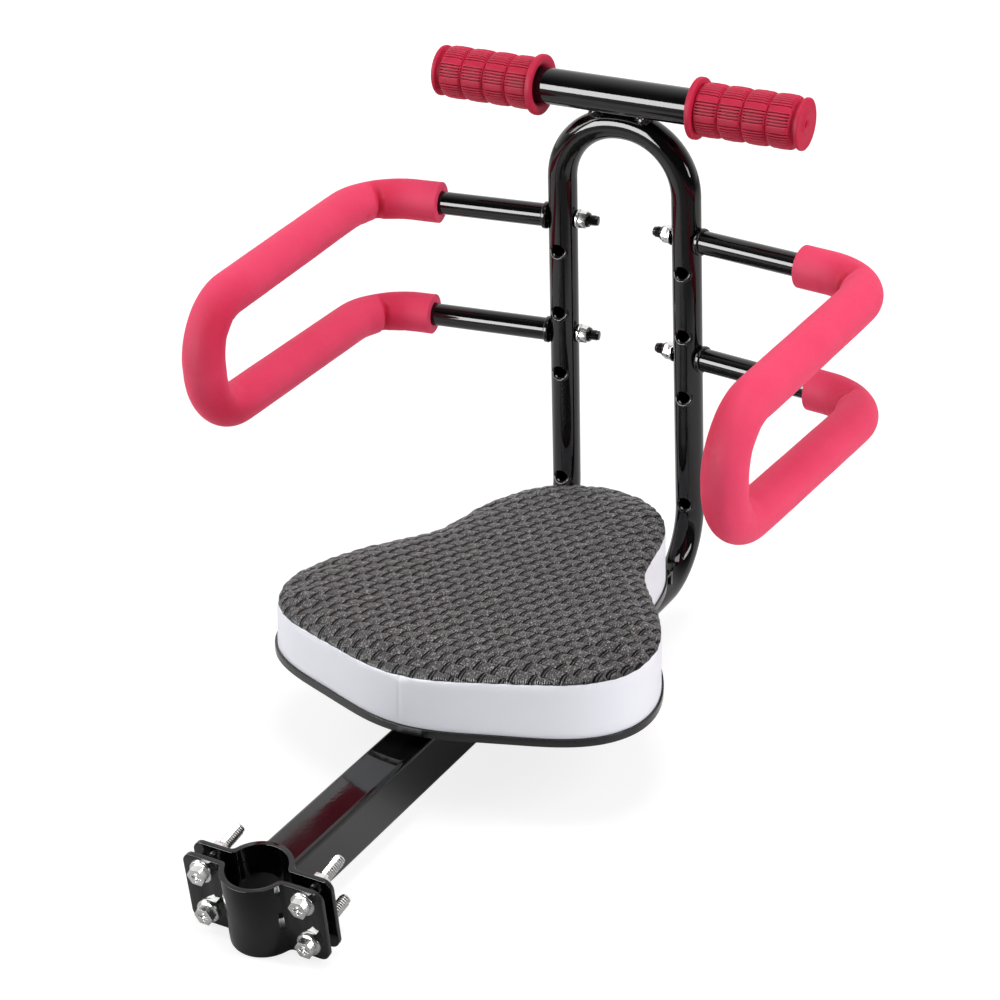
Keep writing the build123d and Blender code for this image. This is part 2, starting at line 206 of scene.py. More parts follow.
def copied(obj, name, matrix):
    """A copy with its own mesh, put in place."""
    twin = obj.copy()
    twin.data = obj.data.copy()
    twin.name = name
    bpy.context.scene.collection.objects.link(twin)
    twin.matrix_world = matrix
    settle(twin)
    if matrix.determinant() < 0:
        outward(twin)
    return twin


def joined(name, objects):
    """Several objects as one piece."""
    bpy.ops.object.select_all(action="DESELECT")
    for obj in objects:
        obj.select_set(True)
    bpy.context.view_layer.objects.active = objects[0]
    bpy.ops.object.join()
    objects[0].name = name
    return objects[0]


def set_points(obj, places):
    obj.data.vertices.foreach_set("co", [number for co in places for number in co])
    obj.data.update()


def reshape(obj, move):
    """Moves each point by a rule that takes its place and its normal."""
    before = [(point.co.copy(), point.normal.copy()) for point in obj.data.vertices]
    set_points(obj, [move(co, normal) for co, normal in before])


def turned(name, profile, columns):
    """A turned shape about +Z: a ring, drawn out and resized along its profile of radii and heights."""
    radius, height = profile[0]
    obj = circle(name, columns, radius, (0, 0, height * MM))
    edit(obj)
    for next_radius, next_height in profile[1:]:
        extruded((0, 0, (next_height - height) * MM))
        share = next_radius / radius
        resized((share, share, 1), (0, 0, next_height * MM))
        radius, height = next_radius, next_height
    close_edit()
    return obj


def softened(node, name, width, segments=2):
    """A copy of a hard-edged piece with rounded edges that catch the light."""
    obj = bpy.data.objects.new(name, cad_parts[node].data.copy())
    bpy.context.scene.collection.objects.link(obj)
    only(obj)
    bpy.ops.mesh.customdata_custom_splitnormals_clear()
    edit(obj)
    bpy.ops.mesh.remove_doubles(threshold=0.001 * MM)
    bpy.ops.mesh.dissolve_limited(angle_limit=math.radians(1))
    close_edit()
    apply(obj, "BEVEL", width=width * MM, segments=segments, limit_method="ANGLE", angle_limit=math.radians(38))
    smooth(obj)
    return obj


def place(obj, material, nodes, body="root"):
    """Dresses a finished piece, hangs it on its body and hides the CAD parts that it stands in for."""
    obj.data.materials.clear()
    obj.data.materials.append(material)
    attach(obj, body)
    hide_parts(*nodes)
    return obj


# Material helpers
smoothly = {"interpolation_type": "SMOOTHSTEP"}


def linear(text):
    """A linear colour from an sRGB hex value."""
    parts = [int(text[i:i + 2], 16) / 255 for i in (1, 3, 5)]
    return [c / 12.92 if c <= 0.04045 else ((c + 0.055) / 1.055) ** 2.4 for c in parts] + [1.0]


def feed(tree, node, inputs):
    """Sets or links a node's inputs."""
    for key, value in inputs.items():
        if isinstance(value, bpy.types.NodeSocket):
            tree.links.new(value, node.inputs[key])
        else:
            node.inputs[key].default_value = value


def add(tree, kind, inputs, **settings):
    """Adds one node, with its settings and inputs."""
    made = tree.nodes.new("ShaderNode" + kind)
    for key, value in settings.items():
        setattr(made, key, value)
    feed(tree, made, inputs)
    return made


def new_material(name):
    """An empty material, its node tree, its shader and the piece's own coordinates."""
    made = bpy.data.materials.new(name)
    made.use_nodes = True
    tree = made.node_tree
    shader = tree.nodes["Principled BSDF"]
    return made, tree, shader, add(tree, "TexCoord", {}).outputs["Object"]


def gloss_enamel():
    """Black stove enamel on steel tube: deep gloss with a faint orange peel and slightly duller patches."""
    made, tree, shader, where = new_material("gloss_black_enamel")
    peel = add(tree, "TexNoise", {"Vector": where, "Scale": per(2.2), "Detail": 2.0}).outputs[0]
    patch = add(tree, "TexNoise", {"Vector": where, "Scale": per(28), "Detail": 5.0}).outputs[0]
    tone = add(tree, "Mix", {0: patch, 6: linear("#050505"), 7: linear("#0F0F10")}, data_type="RGBA").outputs[2]
    dull = add(tree, "MapRange", {0: patch, 1: 0.3, 2: 0.75, 3: 0.03, 4: 0.09}).outputs[0]
    bump = add(tree, "Bump", {"Height": peel, "Strength": 0.10, "Distance": 0.12 * MM}).outputs[0]
    feed(tree, shader, {"Base Color": tone, "Roughness": dull, "Normal": bump})
    feed(tree, shader, {"IOR": 1.5, "Specular IOR Level": 0.44})
    return made


def zinc_plate():
    """Bright zinc plate on pressed steel: pale grey metal with a cloudy bloom and fine handling marks."""
    made, tree, shader, where = new_material("zinc_plated_steel")
    cloud = add(tree, "TexNoise", {"Vector": where, "Scale": per(3.5), "Detail": 6.0}).outputs[0]
    grit = add(tree, "TexNoise", {"Vector": where, "Scale": per(0.7), "Detail": 3.0}).outputs[0]
    tone = add(tree, "Mix", {0: cloud, 6: linear("#C6C8C7"), 7: linear("#F0F0EE")}, data_type="RGBA").outputs[2]
    dull = add(tree, "MapRange", {0: cloud, 1: 0.3, 2: 0.7, 3: 0.30, 4: 0.17}).outputs[0]
    bump = add(tree, "Bump", {"Height": grit, "Strength": 0.18, "Distance": 0.08 * MM}).outputs[0]
    feed(tree, shader, {"Base Color": tone, "Roughness": dull, "Normal": bump, "Metallic": 1.0})
    return made


def sleeve_foam():
    """Closed-cell rubber foam, extruded as tube: matte pink skin with fine pores, and painted shade in a deeper pink
    beside the creases, on the front bends' near faces and in each pore's dip.
    Real cells are about 0.3 mm; they are drawn at 0.8 mm so that they show."""
    made, tree, shader, where = new_material("closed_cell_foam")
    cell = add(tree, "TexVoronoi", {"Vector": where, "Scale": per(0.8)}).outputs["Distance"]
    skin = add(tree, "TexNoise", {"Vector": where, "Scale": per(2.4), "Detail": 4.0}).outputs[0]
    cloud = add(tree, "TexNoise", {"Vector": where, "Scale": per(26), "Detail": 3.0}).outputs[0]
    tone = add(tree, "Mix", {0: cloud, 6: linear("#E63D63"), 7: linear("#F04D70")}, data_type="RGBA").outputs[2]
    # Painted shade: each pore's dip is drawn a darker pink.
    pore_shade = add(tree, "MapRange", {0: cell, 1: 0.0, 2: 0.35, 3: 0.35, 4: 0.0}).outputs[0]
    full = add(tree, "Mix", {0: pore_shade, 6: tone, 7: linear("#D83A5D")}, data_type="RGBA").outputs[2]
    # Painted shade: the attribute read here turns the pink deeper beside the creases and on the front bends' near
    # faces.
    painted_shade = add(tree, "Attribute", {}, attribute_name="painted_shade").outputs["Fac"]
    shaded_pink = add(tree, "Mix", {0: painted_shade, 6: full, 7: linear("#D32A4D")}, data_type="RGBA").outputs[2]
    height = add(tree, "Math", {0: cell, 1: skin}, operation="ADD").outputs[0]
    bump = add(tree, "Bump", {"Height": height, "Strength": 0.12, "Distance": 0.2 * MM}).outputs[0]
    dull = add(tree, "MapRange", {0: skin, 1: 0.3, 2: 0.7, 3: 0.58, 4: 0.74}).outputs[0]
    feed(tree, shader, {"Base Color": shaded_pink, "Roughness": dull, "Normal": bump})
    feed(tree, shader, {"IOR": 1.45, "Specular IOR Level": 0.2})
    feed(tree, shader, {"Sheen Weight": 0.1, "Sheen Roughness": 0.5, "Sheen Tint": linear("#FF9DB2")})
    return made


def grip_rubber():
    """Moulded soft rubber: crimson, half matte, a little paler on its sharp edges, partly where hands and the mould
    have rubbed it and partly as a painted highlight, with painted shade deep in its grooves.
    """
    made, tree, shader, where = new_material("moulded_crimson_rubber")
    cloud = add(tree, "TexNoise", {"Vector": where, "Scale": per(14), "Detail": 5.0}).outputs[0]
    grain = add(tree, "TexNoise", {"Vector": where, "Scale": per(0.6), "Detail": 3.0}).outputs[0]
    tone = add(tree, "Mix", {0: cloud, 6: linear("#B81438"), 7: linear("#CE2448")}, data_type="RGBA").outputs[2]
    edge = add(tree, "NewGeometry", {}).outputs["Pointiness"]
    # Sharp edges turn paler: partly rubbed wear, partly a painted highlight.
    rub_and_highlight = add(tree, "MapRange", {0: edge, 1: 0.52, 2: 0.62, 3: 0.0, 4: 0.45}).outputs[0]
    worn_and_highlit = add(tree, "Mix", {0: rub_and_highlight, 6: tone, 7: linear("#DC627C")}, data_type="RGBA").outputs[2]
    # Painted shade: deep in the grooves the crimson turns almost black.
    groove_shade = add(tree, "MapRange", {0: edge, 1: 0.40, 2: 0.485, 3: 0.9, 4: 0.0}).outputs[0]
    full = add(tree, "Mix", {0: groove_shade, 6: worn_and_highlit, 7: linear("#5C0618")}, data_type="RGBA").outputs[2]
    dull = add(tree, "MapRange", {0: cloud, 1: 0.3, 2: 0.7, 3: 0.46, 4: 0.62}).outputs[0]
    bump = add(tree, "Bump", {"Height": grain, "Strength": 0.15, "Distance": 0.1 * MM}).outputs[0]
    feed(tree, shader, {"Base Color": full, "Roughness": dull, "Normal": bump})
    feed(tree, shader, {"IOR": 1.5, "Specular IOR Level": 0.16})
    return made


def band_vinyl():
    """Calendered white vinyl: cool white, satin, with a shallow leather grain and faint grey handling."""
    made, tree, shader, where = new_material("white_vinyl_sheet")
    grain = add(tree, "TexVoronoi", {"Vector": where, "Scale": per(1.1)}, feature="SMOOTH_F1").outputs["Distance"]
    cloud = add(tree, "TexNoise", {"Vector": where, "Scale": per(45), "Detail": 4.0}).outputs[0]
    tone = add(tree, "Mix", {0: cloud, 6: linear("#EEEFF9"), 7: linear("#F8F9FF")}, data_type="RGBA").outputs[2]
    dull = add(tree, "MapRange", {0: cloud, 1: 0.3, 2: 0.7, 3: 0.34, 4: 0.46}).outputs[0]
    bump = add(tree, "Bump", {"Height": grain, "Strength": 0.10, "Distance": 0.12 * MM}).outputs[0]
    feed(tree, shader, {"Base Color": tone, "Roughness": dull, "Normal": bump, "IOR": 1.53})
    return made


# Strands of the weave: about 0.7 mm apart, drawn wider so that they show, and the shoulder that is given painted
# shade, in millimetres
strand_pitch = 1.35
strand_slant = 0.22
shoulder_start = 62.8
shoulder_end = 67.4


def woven_vinyl():
    """Vinyl embossed as a basket weave: grey-black bricks in staggered rows, with paired slits between them."""
    made, tree, shader, where = new_material("basket_embossed_vinyl")
    laid = add(tree, "Mapping", {"Vector": where, "Rotation": (0, 0, math.radians(weave_turn))}).outputs[0]
    laid_axes = add(tree, "SeparateXYZ", {"Vector": laid})
    own_axes = add(tree, "SeparateXYZ", {"Vector": where})
    along, across = laid_axes.outputs[0], laid_axes.outputs[1]

    # Place in the row and in the brick
    column = add(tree, "Math", {0: along, 1: weave_cell_width * MM}, operation="DIVIDE").outputs[0]
    line = add(tree, "Math", {0: across, 1: weave_row_height * MM}, operation="DIVIDE").outputs[0]
    row = add(tree, "Math", {0: line}, operation="FLOOR").outputs[0]
    odd = add(tree, "Math", {0: row, 1: 2.0}, operation="FLOORED_MODULO").outputs[0]
    shifted = add(tree, "Math", {0: odd, 1: 0.5, 2: column}, operation="MULTIPLY_ADD").outputs[0]
    step = add(tree, "Math", {0: line}, operation="FRACT").outputs[0]
    bend = add(tree, "Math", {0: step, 1: step}, operation="MULTIPLY").outputs[0]
    curved = add(tree, "Math", {0: bend, 1: -weave_slit_curve, 2: shifted}, operation="MULTIPLY_ADD").outputs[0]
    cell = add(tree, "Math", {0: curved}, operation="FRACT").outputs[0]

    # Paired slits, and the lower and upper edges of each row. The slits, their cut lines and the lower edges carry
    # painted shade; the upper edges carry a painted highlight.
    aside = add(tree, "Math", {0: cell, 1: 0.5}, operation="SUBTRACT").outputs[0]
    slit_gap = add(tree, "Math", {0: aside}, operation="ABSOLUTE").outputs[0]
    slit = add(tree, "MapRange", {0: slit_gap, 1: 0.11, 2: 0.17, 3: 1.0, 4: 0.0}, **smoothly).outputs[0]
    line_gap = add(tree, "Math", {0: slit_gap, 1: 0.08}, operation="SUBTRACT").outputs[0]
    line_near = add(tree, "Math", {0: line_gap}, operation="ABSOLUTE").outputs[0]
    cut_line = add(tree, "MapRange", {0: line_near, 1: 0.024, 2: 0.056, 3: 1.0, 4: 0.0}, **smoothly).outputs[0]
    lower = add(tree, "MapRange", {0: step, 1: 0.05, 2: 0.16, 3: 0.9, 4: 0.0}, **smoothly).outputs[0]
    upper = add(tree, "MapRange", {0: step, 1: 0.84, 2: 0.97, 3: 0.0, 4: 1.0}, **smoothly).outputs[0]
    drawn_out = add(tree, "Mapping", {"Vector": laid, "Scale": (1.0, 0.5, 1.0)}).outputs[0]
    grit = add(tree, "TexNoise", {"Vector": drawn_out, "Scale": per(0.9), "Detail": 2.0}).outputs[0]
    broken = add(tree, "MapRange", {0: grit, 1: 0.4, 2: 0.56, 3: 1.0, 4: 0.25}).outputs[0]
    ragged = add(tree, "Math", {0: lower, 1: broken}, operation="MULTIPLY").outputs[0]
    hollow = add(tree, "Math", {0: cut_line, 1: ragged}, operation="MAXIMUM").outputs[0]

    # Strands and grit over a cloudy ground: painted shade in the strands' valleys and the grit's pits, and painted
    # glints on the grit's peaks
    slant = add(tree, "Math", {0: across, 1: strand_slant, 2: along}, operation="MULTIPLY_ADD").outputs[0]
    wave = add(tree, "Math", {0: slant, 1: 2 * math.pi * per(strand_pitch)}, operation="MULTIPLY").outputs[0]
    strand = add(tree, "Math", {0: wave}, operation="SINE").outputs[0]
    fleck = add(tree, "TexNoise", {"Vector": where, "Scale": per(1.5), "Detail": 5.0}).outputs[0]
    cloud = add(tree, "TexNoise", {"Vector": where, "Scale": per(12), "Detail": 3.0}).outputs[0]
    ground = add(tree, "Mix", {0: cloud, 6: linear("#343233"), 7: linear("#4A4849")}, data_type="RGBA").outputs[2]
    # Painted shade in the valleys between strands.
    strand_valley_shade = add(tree, "MapRange", {0: strand, 1: -1.0, 2: 0.2, 3: 0.6, 4: 0.0}).outputs[0]
    with_valley_shade = add(tree, "Mix", {0: strand_valley_shade, 6: ground, 7: linear("#1D1C1D")}, data_type="RGBA").outputs[2]
    # Painted shade in the grit's pits.
    pit_shade = add(tree, "MapRange", {0: grit, 1: 0.36, 2: 0.5, 3: 0.8, 4: 0.0}).outputs[0]
    with_pit_shade = add(tree, "Mix", {0: pit_shade, 6: with_valley_shade, 7: linear("#191819")}, data_type="RGBA").outputs[2]
    # Painted glints: the grit's peaks are drawn pale grey.
    painted_glint = add(tree, "MapRange", {0: grit, 1: 0.55, 2: 0.67, 3: 0.0, 4: 0.9}).outputs[0]
    bright = add(tree, "Mix", {0: painted_glint, 6: with_pit_shade, 7: linear("#A3A1A2")}, data_type="RGBA").outputs[2]
    # Painted highlight along the upper edge of each row.
    lip = add(tree, "Math", {0: upper, 1: 0.55}, operation="MULTIPLY").outputs[0]
    edged = add(tree, "Mix", {0: lip, 6: bright, 7: linear("#7A7879")}, data_type="RGBA").outputs[2]
    # Painted shade in the slits.
    dim = add(tree, "Math", {0: slit, 1: 0.45}, operation="MULTIPLY").outputs[0]
    shaded = add(tree, "Mix", {0: dim, 6: edged, 7: linear("#1A191A")}, data_type="RGBA").outputs[2]

    # Painted shade on the shoulder above the seam, measured without the pad's lean
    unlean = -math.tan(math.radians(seat_roll))
    sideways, upright = own_axes.outputs[0], own_axes.outputs[2]
    level = add(tree, "Math", {0: sideways, 1: unlean, 2: upright}, operation="MULTIPLY_ADD").outputs[0]
    rim = add(tree, "MapRange", {0: level, 1: shoulder_start * MM, 2: shoulder_end * MM, 3: 0.9, 4: 0.0}).outputs[0]
    with_shoulder_shade = add(tree, "Mix", {0: rim, 6: shaded, 7: linear("#121112")}, data_type="RGBA").outputs[2]

    # Painted shade: the cut lines and the lower row edges are nearly black.
    tone = add(tree, "Mix", {0: hollow, 6: with_shoulder_shade, 7: linear("#030303")}, data_type="RGBA").outputs[2]
    shine = add(tree, "MapRange", {0: hollow, 1: 0.0, 2: 1.0, 3: 0.5, 4: 0.08}).outputs[0]
    ribbed = add(tree, "Math", {0: strand, 1: 0.3, 2: grit}, operation="MULTIPLY_ADD").outputs[0]
    height = add(tree, "Math", {0: hollow, 1: -1.2, 2: ribbed}, operation="MULTIPLY_ADD").outputs[0]
    bump = add(tree, "Bump", {"Height": height, "Strength": 0.7, "Distance": 0.5 * MM}).outputs[0]
    dull = add(tree, "MapRange", {0: fleck, 1: 0.3, 2: 0.7, 3: 0.44, 4: 0.26}).outputs[0]
    feed(tree, shader, {"Base Color": tone, "Roughness": dull, "Normal": bump})
    feed(tree, shader, {"IOR": 1.53, "Specular IOR Level": shine})
    return made


def board_plastic():
    """Moulded black polypropylene: satin with a fine spark-eroded grain."""
    made, tree, shader, where = new_material("moulded_black_plastic")
    grain = add(tree, "TexNoise", {"Vector": where, "Scale": per(0.9), "Detail": 3.0}).outputs[0]
    cloud = add(tree, "TexNoise", {"Vector": where, "Scale": per(22), "Detail": 4.0}).outputs[0]
    tone = add(tree, "Mix", {0: cloud, 6: linear("#080809"), 7: linear("#121213")}, data_type="RGBA").outputs[2]
    dull = add(tree, "MapRange", {0: cloud, 1: 0.3, 2: 0.7, 3: 0.13, 4: 0.22}).outputs[0]
    bump = add(tree, "Bump", {"Height": grain, "Strength": 0.1, "Distance": 0.08 * MM}).outputs[0]
    feed(tree, shader, {"Base Color": tone, "Roughness": dull, "Normal": bump, "IOR": 1.49})
    return made


enamel = gloss_enamel()
zinc = zinc_plate()
foam = sleeve_foam()
rubber = grip_rubber()
vinyl = band_vinyl()
weave = woven_vinyl()
plastic = board_plastic()


# Camera at the photograph's place
camera_place = Vector((0.6211, -0.8911, 0.7513))
camera_turn = math.radians(28.258)
camera_tilt = math.radians(25.658)
camera_ahead = (-math.sin(camera_turn), math.cos(camera_turn), 0.0)
camera_back = Vector((
    math.sin(camera_turn) * math.cos(camera_tilt),
    -math.cos(camera_turn) * math.cos(camera_tilt),
    math.sin(camera_tilt),
))
camera_data = bpy.data.cameras.new("photo_camera")
camera_data.sensor_width = 36.0
camera_data.lens = 88.78
camera = bpy.data.objects.new("photo_camera", camera_data)
camera.location = camera_place
camera.rotation_euler = (-camera_back).to_track_quat("-Z", "Y").to_euler()
bpy.context.scene.collection.objects.link(camera)
bpy.context.scene.camera = camera


# Frame that keeps its CAD shape
painted = ("support_beam", "hoop_tube", "handlebar_tube", "guard_rail_right", "guard_rail_left")
for node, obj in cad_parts.items():
    obj.data.materials.clear()
    obj.data.materials.append(enamel if node in painted else plastic)


# Threads of the clamp bolts and guard studs. The clamp bolts' real pitch is 1.0 mm, drawn coarser so that it shows
clamp_thread_pitch = 1.5
clamp_thread_radius = 3.1
stud_thread_pitch = 1.0
stud_thread_radius = 3.2
stud_thread_start = 10.0
stud_thread_end = 22.0
thread_steps = 18


def thread(name, pitch, radius, start, end):
    """A screw thread along +Z: one ridge wound round the shank."""
    ridge = pitch / 2
    obj = circle(name, 4, ridge, ((radius - ridge / 2) * MM, 0, start * MM), (math.pi / 2, 0, 0))
    turns = int((end - start) / pitch)
    apply(
        obj, "SCREW", axis="Z", angle=2 * math.pi, screw_offset=pitch * MM, iterations=turns,
        steps=thread_steps, render_steps=thread_steps, use_merge_vertices=True, merge_threshold=0.005 * MM,
    )
    edit(obj)
    bpy.ops.mesh.select_non_manifold()
    bpy.ops.mesh.edge_face_add()
    close_edit()
    outward(obj)
    smooth(obj, 30)
    return obj


lean = Matrix.Rotation(math.radians(clamp_lean), 4, "X")
along_y = Matrix.Rotation(-math.pi / 2, 4, "X")
clamp_coil = thread("clamp_thread", clamp_thread_pitch, clamp_thread_radius, clamp_thread_start, clamp_thread_end)
clamp_parts = [softened("clamp_bolts", "clamp_bolt_set", 0.35)]
for x, z in clamp_bolt_places:
    spot = lean @ Matrix.Translation((x * MM, 0, z * MM)) @ along_y
    clamp_parts.append(copied(clamp_coil, "clamp_thread_copy", spot))
bpy.data.objects.remove(clamp_coil)
place(joined("clamp_bolt_set", clamp_parts), zinc, ["clamp_bolts"])


# Clamp and small fittings with rounded edges: node, name, width and steps of the rounding, slot and finish
rounded = (
    ("clamp_washers", "clamp_washer_set", 0.25, 2, "zinc_steel", zinc),
    ("clamp_nuts", "clamp_nut_set", 0.5, 2, "zinc_steel", zinc),
    ("clamp_rear_half", "clamp_rear_strap", 0.9, 3, "frame_paint", enamel),
    ("clamp_front_half", "clamp_front_strap", 0.9, 3, "frame_paint", enamel),
    ("guard_end_plugs", "guard_collar_set", 0.7, 3, "black_plastic", plastic),
    ("guard_washers", "guard_washer_set", 0.3, 2, "zinc_steel", zinc),
    ("guard_nuts", "guard_nut_set", 0.5, 2, "zinc_steel", zinc),
    ("seat_channel_front", "front_channel", 0.6, 2, "frame_paint", enamel),
    ("seat_channel_rear", "rear_channel", 0.6, 2, "frame_paint", enamel),
    ("seat_screws", "seat_screw_set", 0.4, 2, "zinc_steel", zinc),
    ("seat_board", "seat_base_board", 2.1, 5, "black_plastic", plastic),
)
for node, name, width, segments, slot, finish in rounded:
    place(softened(node, name, width, segments), finish, [node])


# Places along the hoop and the guards
def leg_point(height):
    """A point on the axis of the hoop's right leg."""
    drop = hoop_crown_height - height
    share = drop / (hoop_crown_height - hoop_foot_height)
    x = hoop_crown_half_width + (hoop_foot_half_width - hoop_crown_half_width) * share
    return Vector((x, hoop_crown_y + drop * math.tan(math.radians(hoop_lean)), height))


def arm_point(height, x):
    """A point on a guard arm's axis, at a distance from the middle plane."""
    root = leg_point(height)
    return Vector((x, root.y - (x - root.x) * math.tan(math.radians(guard_sweep)), height))


flip = Matrix.Scale(-1, 4, Vector((1, 0, 0)))


# Guard studs: painted with the rail, with a black locking ring behind each nut and a threaded end
lock_ring_profile = [(3.0, 15.5), (4.7, 15.6), (4.7, 17.0), (4.3, 17.7), (3.4, 17.9), (2.6, 17.6)]
lock_ring_columns = 36
stud_parts = [softened("guard_studs", "guard_stud_set", 0.4)]
for height in (guard_upper_height, guard_lower_height):
    root = leg_point(height)
    inward = (arm_point(height, 0) - arm_point(height, root.x)).normalized()
    spot = Matrix.Translation(root * MM) @ inward.to_track_quat("Z", "Y").to_matrix().to_4x4()
    coil = thread("stud_thread", stud_thread_pitch, stud_thread_radius, stud_thread_start, stud_thread_end)
    ring = turned("lock_ring", lock_ring_profile, lock_ring_columns)
    outward(ring)
    smooth(ring, 40)
    for side in (Matrix.Identity(4), flip):
        stud_parts.append(copied(coil, "stud_thread_copy", side @ spot))
        stud_parts.append(copied(ring, "lock_ring_copy", side @ spot))
    bpy.data.objects.remove(coil)
    bpy.data.objects.remove(ring)
place(joined("guard_stud_set", stud_parts), enamel, ["guard_studs"])


# Weld beads under the handlebar: lumpy, with ripples from each pass
weld_ripple_rate = 2.6
weld_ripple_height = 0.3
weld_lump_size = 2.2
weld_lump_height = 0.6


def weld_lump(co, normal):
    ripple = math.sin(co.y / MM * weld_ripple_rate) * weld_ripple_height
    return co + normal * (ripple + weld_lump_height * noise.noise(co * per(weld_lump_size))) * MM


welds = softened("handlebar_welds", "handlebar_weld_beads", 0.2)
outward(welds)
reshape(welds, weld_lump)
smooth(welds, 50)
place(welds, enamel, ["handlebar_welds"])


# Rims of the cross holes in the hoop's legs: paint gathers to a soft lip round each one
hole_rim_profile = [(4.0, -1.3), (4.6, -0.5), (5.2, 0.2), (5.7, 0.5), (6.3, 0.35), (6.9, -0.5)]
hole_rim_columns = 40


def wrap_on_leg(co, normal):
    """Lays a flat rim on the round of the leg."""
    drop = hoop_tube_radius - math.sqrt(hoop_tube_radius ** 2 - (co.x / MM) ** 2)
    return Vector((co.x, co.y, co.z + (hoop_tube_radius - drop) * MM))


def hole_rims():
    lip = turned("hole_rim", hole_rim_profile, hole_rim_columns)
    reshape(lip, wrap_on_leg)
    outward(lip)
    smooth(lip, 60)
    rims = []
    for height in hoop_hole_heights:
        spot = leg_point(height) * MM
        for turn in (math.pi / 2, -math.pi / 2):
            facing = Matrix.Rotation(-math.radians(hoop_lean), 4, "X") @ Matrix.Rotation(turn, 4, "X")
            for x in (spot.x, -spot.x):
                rims.append(copied(lip, "hole_rim_copy", Matrix.Translation((x, spot.y, spot.z)) @ facing))
    bpy.data.objects.remove(lip)
    obj = joined("leg_hole_rims", rims)
    obj.data.materials.append(enamel)
    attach(obj, "root")


hole_rims()


# Rubber grips: a cupped flange, four barrels with blocks of grooves, a neck and an end cap.
# Columns count round the grip: each block is a plain strip and then grooves, one every few columns
grip_columns = 216
grip_block = 27
grip_plain = 7
groove_period = 4
groove_width = 2
groove_from, groove_to = 0.04, 0.96
groove_depth = 1.8
groove_edge = 0.05
grip_edge_round = 0.04
grip_barrels = 4
grip_body_start = grip_inner_end + 4.2
grip_body_end = grip_outer_end - 5.2
grip_pitch = (grip_body_end - grip_body_start) / grip_barrels

# Sections of the grip: radius, and place from the inner end, in the barrel, from the body's end, from the outer end
flange_shape = [
    (11.2, 5), (11.6, 2.4), (13.4, 0.7), (14.6, 0.15), (17.8, 0), (18.5, 0.35), (18.7, 1.0), (18.7, 2.9),
    (18.4, 3.6), (17.4, 3.9),
]
barrel_shape = [
    (14.2, 0.0), (15.0, 0.04), (15.7, 0.09), (16.1, 0.18), (16.3, 0.5), (16.1, 0.82), (15.7, 0.91), (15.0, 0.96),
]
neck_shape = [(14.2, 0), (13.2, 0.6), (12.9, 1.4)]
cap_shape = [
    (13.1, -3.0), (15.0, -2.6), (15.6, -2.1), (15.7, -1.0), (15.5, -0.4), (14.9, -0.1), (14.0, -0.15), (5.2, -0.6),
    (4.8, -0.2), (4.2, 0), (3.2, -0.1), (2.3, -0.7), (1.9, -1.4), (1.8, -3.0),
]


def grip_profile():
    profile = [(r, grip_inner_end + along) for r, along in flange_shape]
    profile.append((15.4, grip_body_start - 0.1))
    for i in range(grip_barrels):
        profile += [(r, grip_body_start + (i + share) * grip_pitch) for r, share in barrel_shape]
    profile += [(r, grip_body_end + along) for r, along in neck_shape]
    profile += [(r, grip_outer_end + along) for r, along in cap_shape]
    return profile


def in_groove(middle):
    """Whether a face of the grip lies in one of the grooves."""
    place_along = (middle.z / MM - grip_body_start) / grip_pitch
    if not 0 < place_along < grip_barrels or not groove_from < place_along % 1 < groove_to:
        return False
    column = math.atan2(middle.y, middle.x) / (2 * math.pi) * grip_columns % grip_block
    return column > grip_plain and (column - grip_plain) % groove_period < groove_width


def grip():
    obj = turned("rubber_grip_right", grip_profile(), grip_columns)
    edit(obj)
    bpy.ops.mesh.edge_face_add()
    bpy.ops.mesh.select_all(action="SELECT")
    bpy.ops.mesh.normals_make_consistent(inside=False)
    bpy.ops.mesh.select_mode(type="FACE")
    choose_faces(obj, in_groove)
    bpy.ops.mesh.inset(thickness=groove_edge * MM, depth=-groove_depth * MM, use_even_offset=True)
    close_edit()
    apply(obj, "BEVEL", width=grip_edge_round * MM, segments=1, limit_method="ANGLE", angle_limit=math.radians(42))
    smooth(obj, 50)
    on_bar = Matrix.Translation((0, handlebar_y * MM, handlebar_height * MM))
    obj.matrix_world = on_bar @ Matrix.Rotation(math.pi / 2, 4, "Y")
    settle(obj)
    return obj


right_grip = grip()
left_grip = copied(right_grip, "rubber_grip_left", flip)
place(right_grip, rubber, ["grip_right"])
place(left_grip, rubber, ["grip_left"])


# Foam sleeves: a ring drawn along the rail and spun round its bends, with creases inside each bend
foam_columns = 64
foam_bend_steps = 80
foam_run_step = 4
foam_end_round = 0.35
foam_end_share = 0.965
foam_bore_depth = 14

# Folds at a bend: share of its turn, depth in millimetres and width as a share
side_folds = ((0.5, 3.4, 0.045), (0.54, 1.5, 0.15), (0.8, 0.3, 0.05))
front_folds = ((0.34, 0.35, 0.07), (0.62, 0.5, 0.08))
fold_wander = 0.03
bend_bulge = 0.5
bend_stretch = 0.4
bend_spread = 0.42

# Ridge along the inside of a front bend and hollows beside it: height, width and place in degrees
front_ridge_height, front_ridge_width = 0.7, 22
front_hollow_depth, front_hollow_place, front_hollow_width = 1.3, 52, 20


def guard_corners():
    return [
        arm_point(guard_upper_height, foam_upper_start),
        arm_point(guard_upper_height, guard_half_width),
        Vector((guard_front_half_width, guard_front_upper_y, guard_front_upper_height)),
        Vector((guard_front_half_width, guard_front_lower_y, guard_front_lower_height)),
        arm_point(guard_lower_height, guard_half_width),
        arm_point(guard_lower_height, foam_lower_start),
    ]


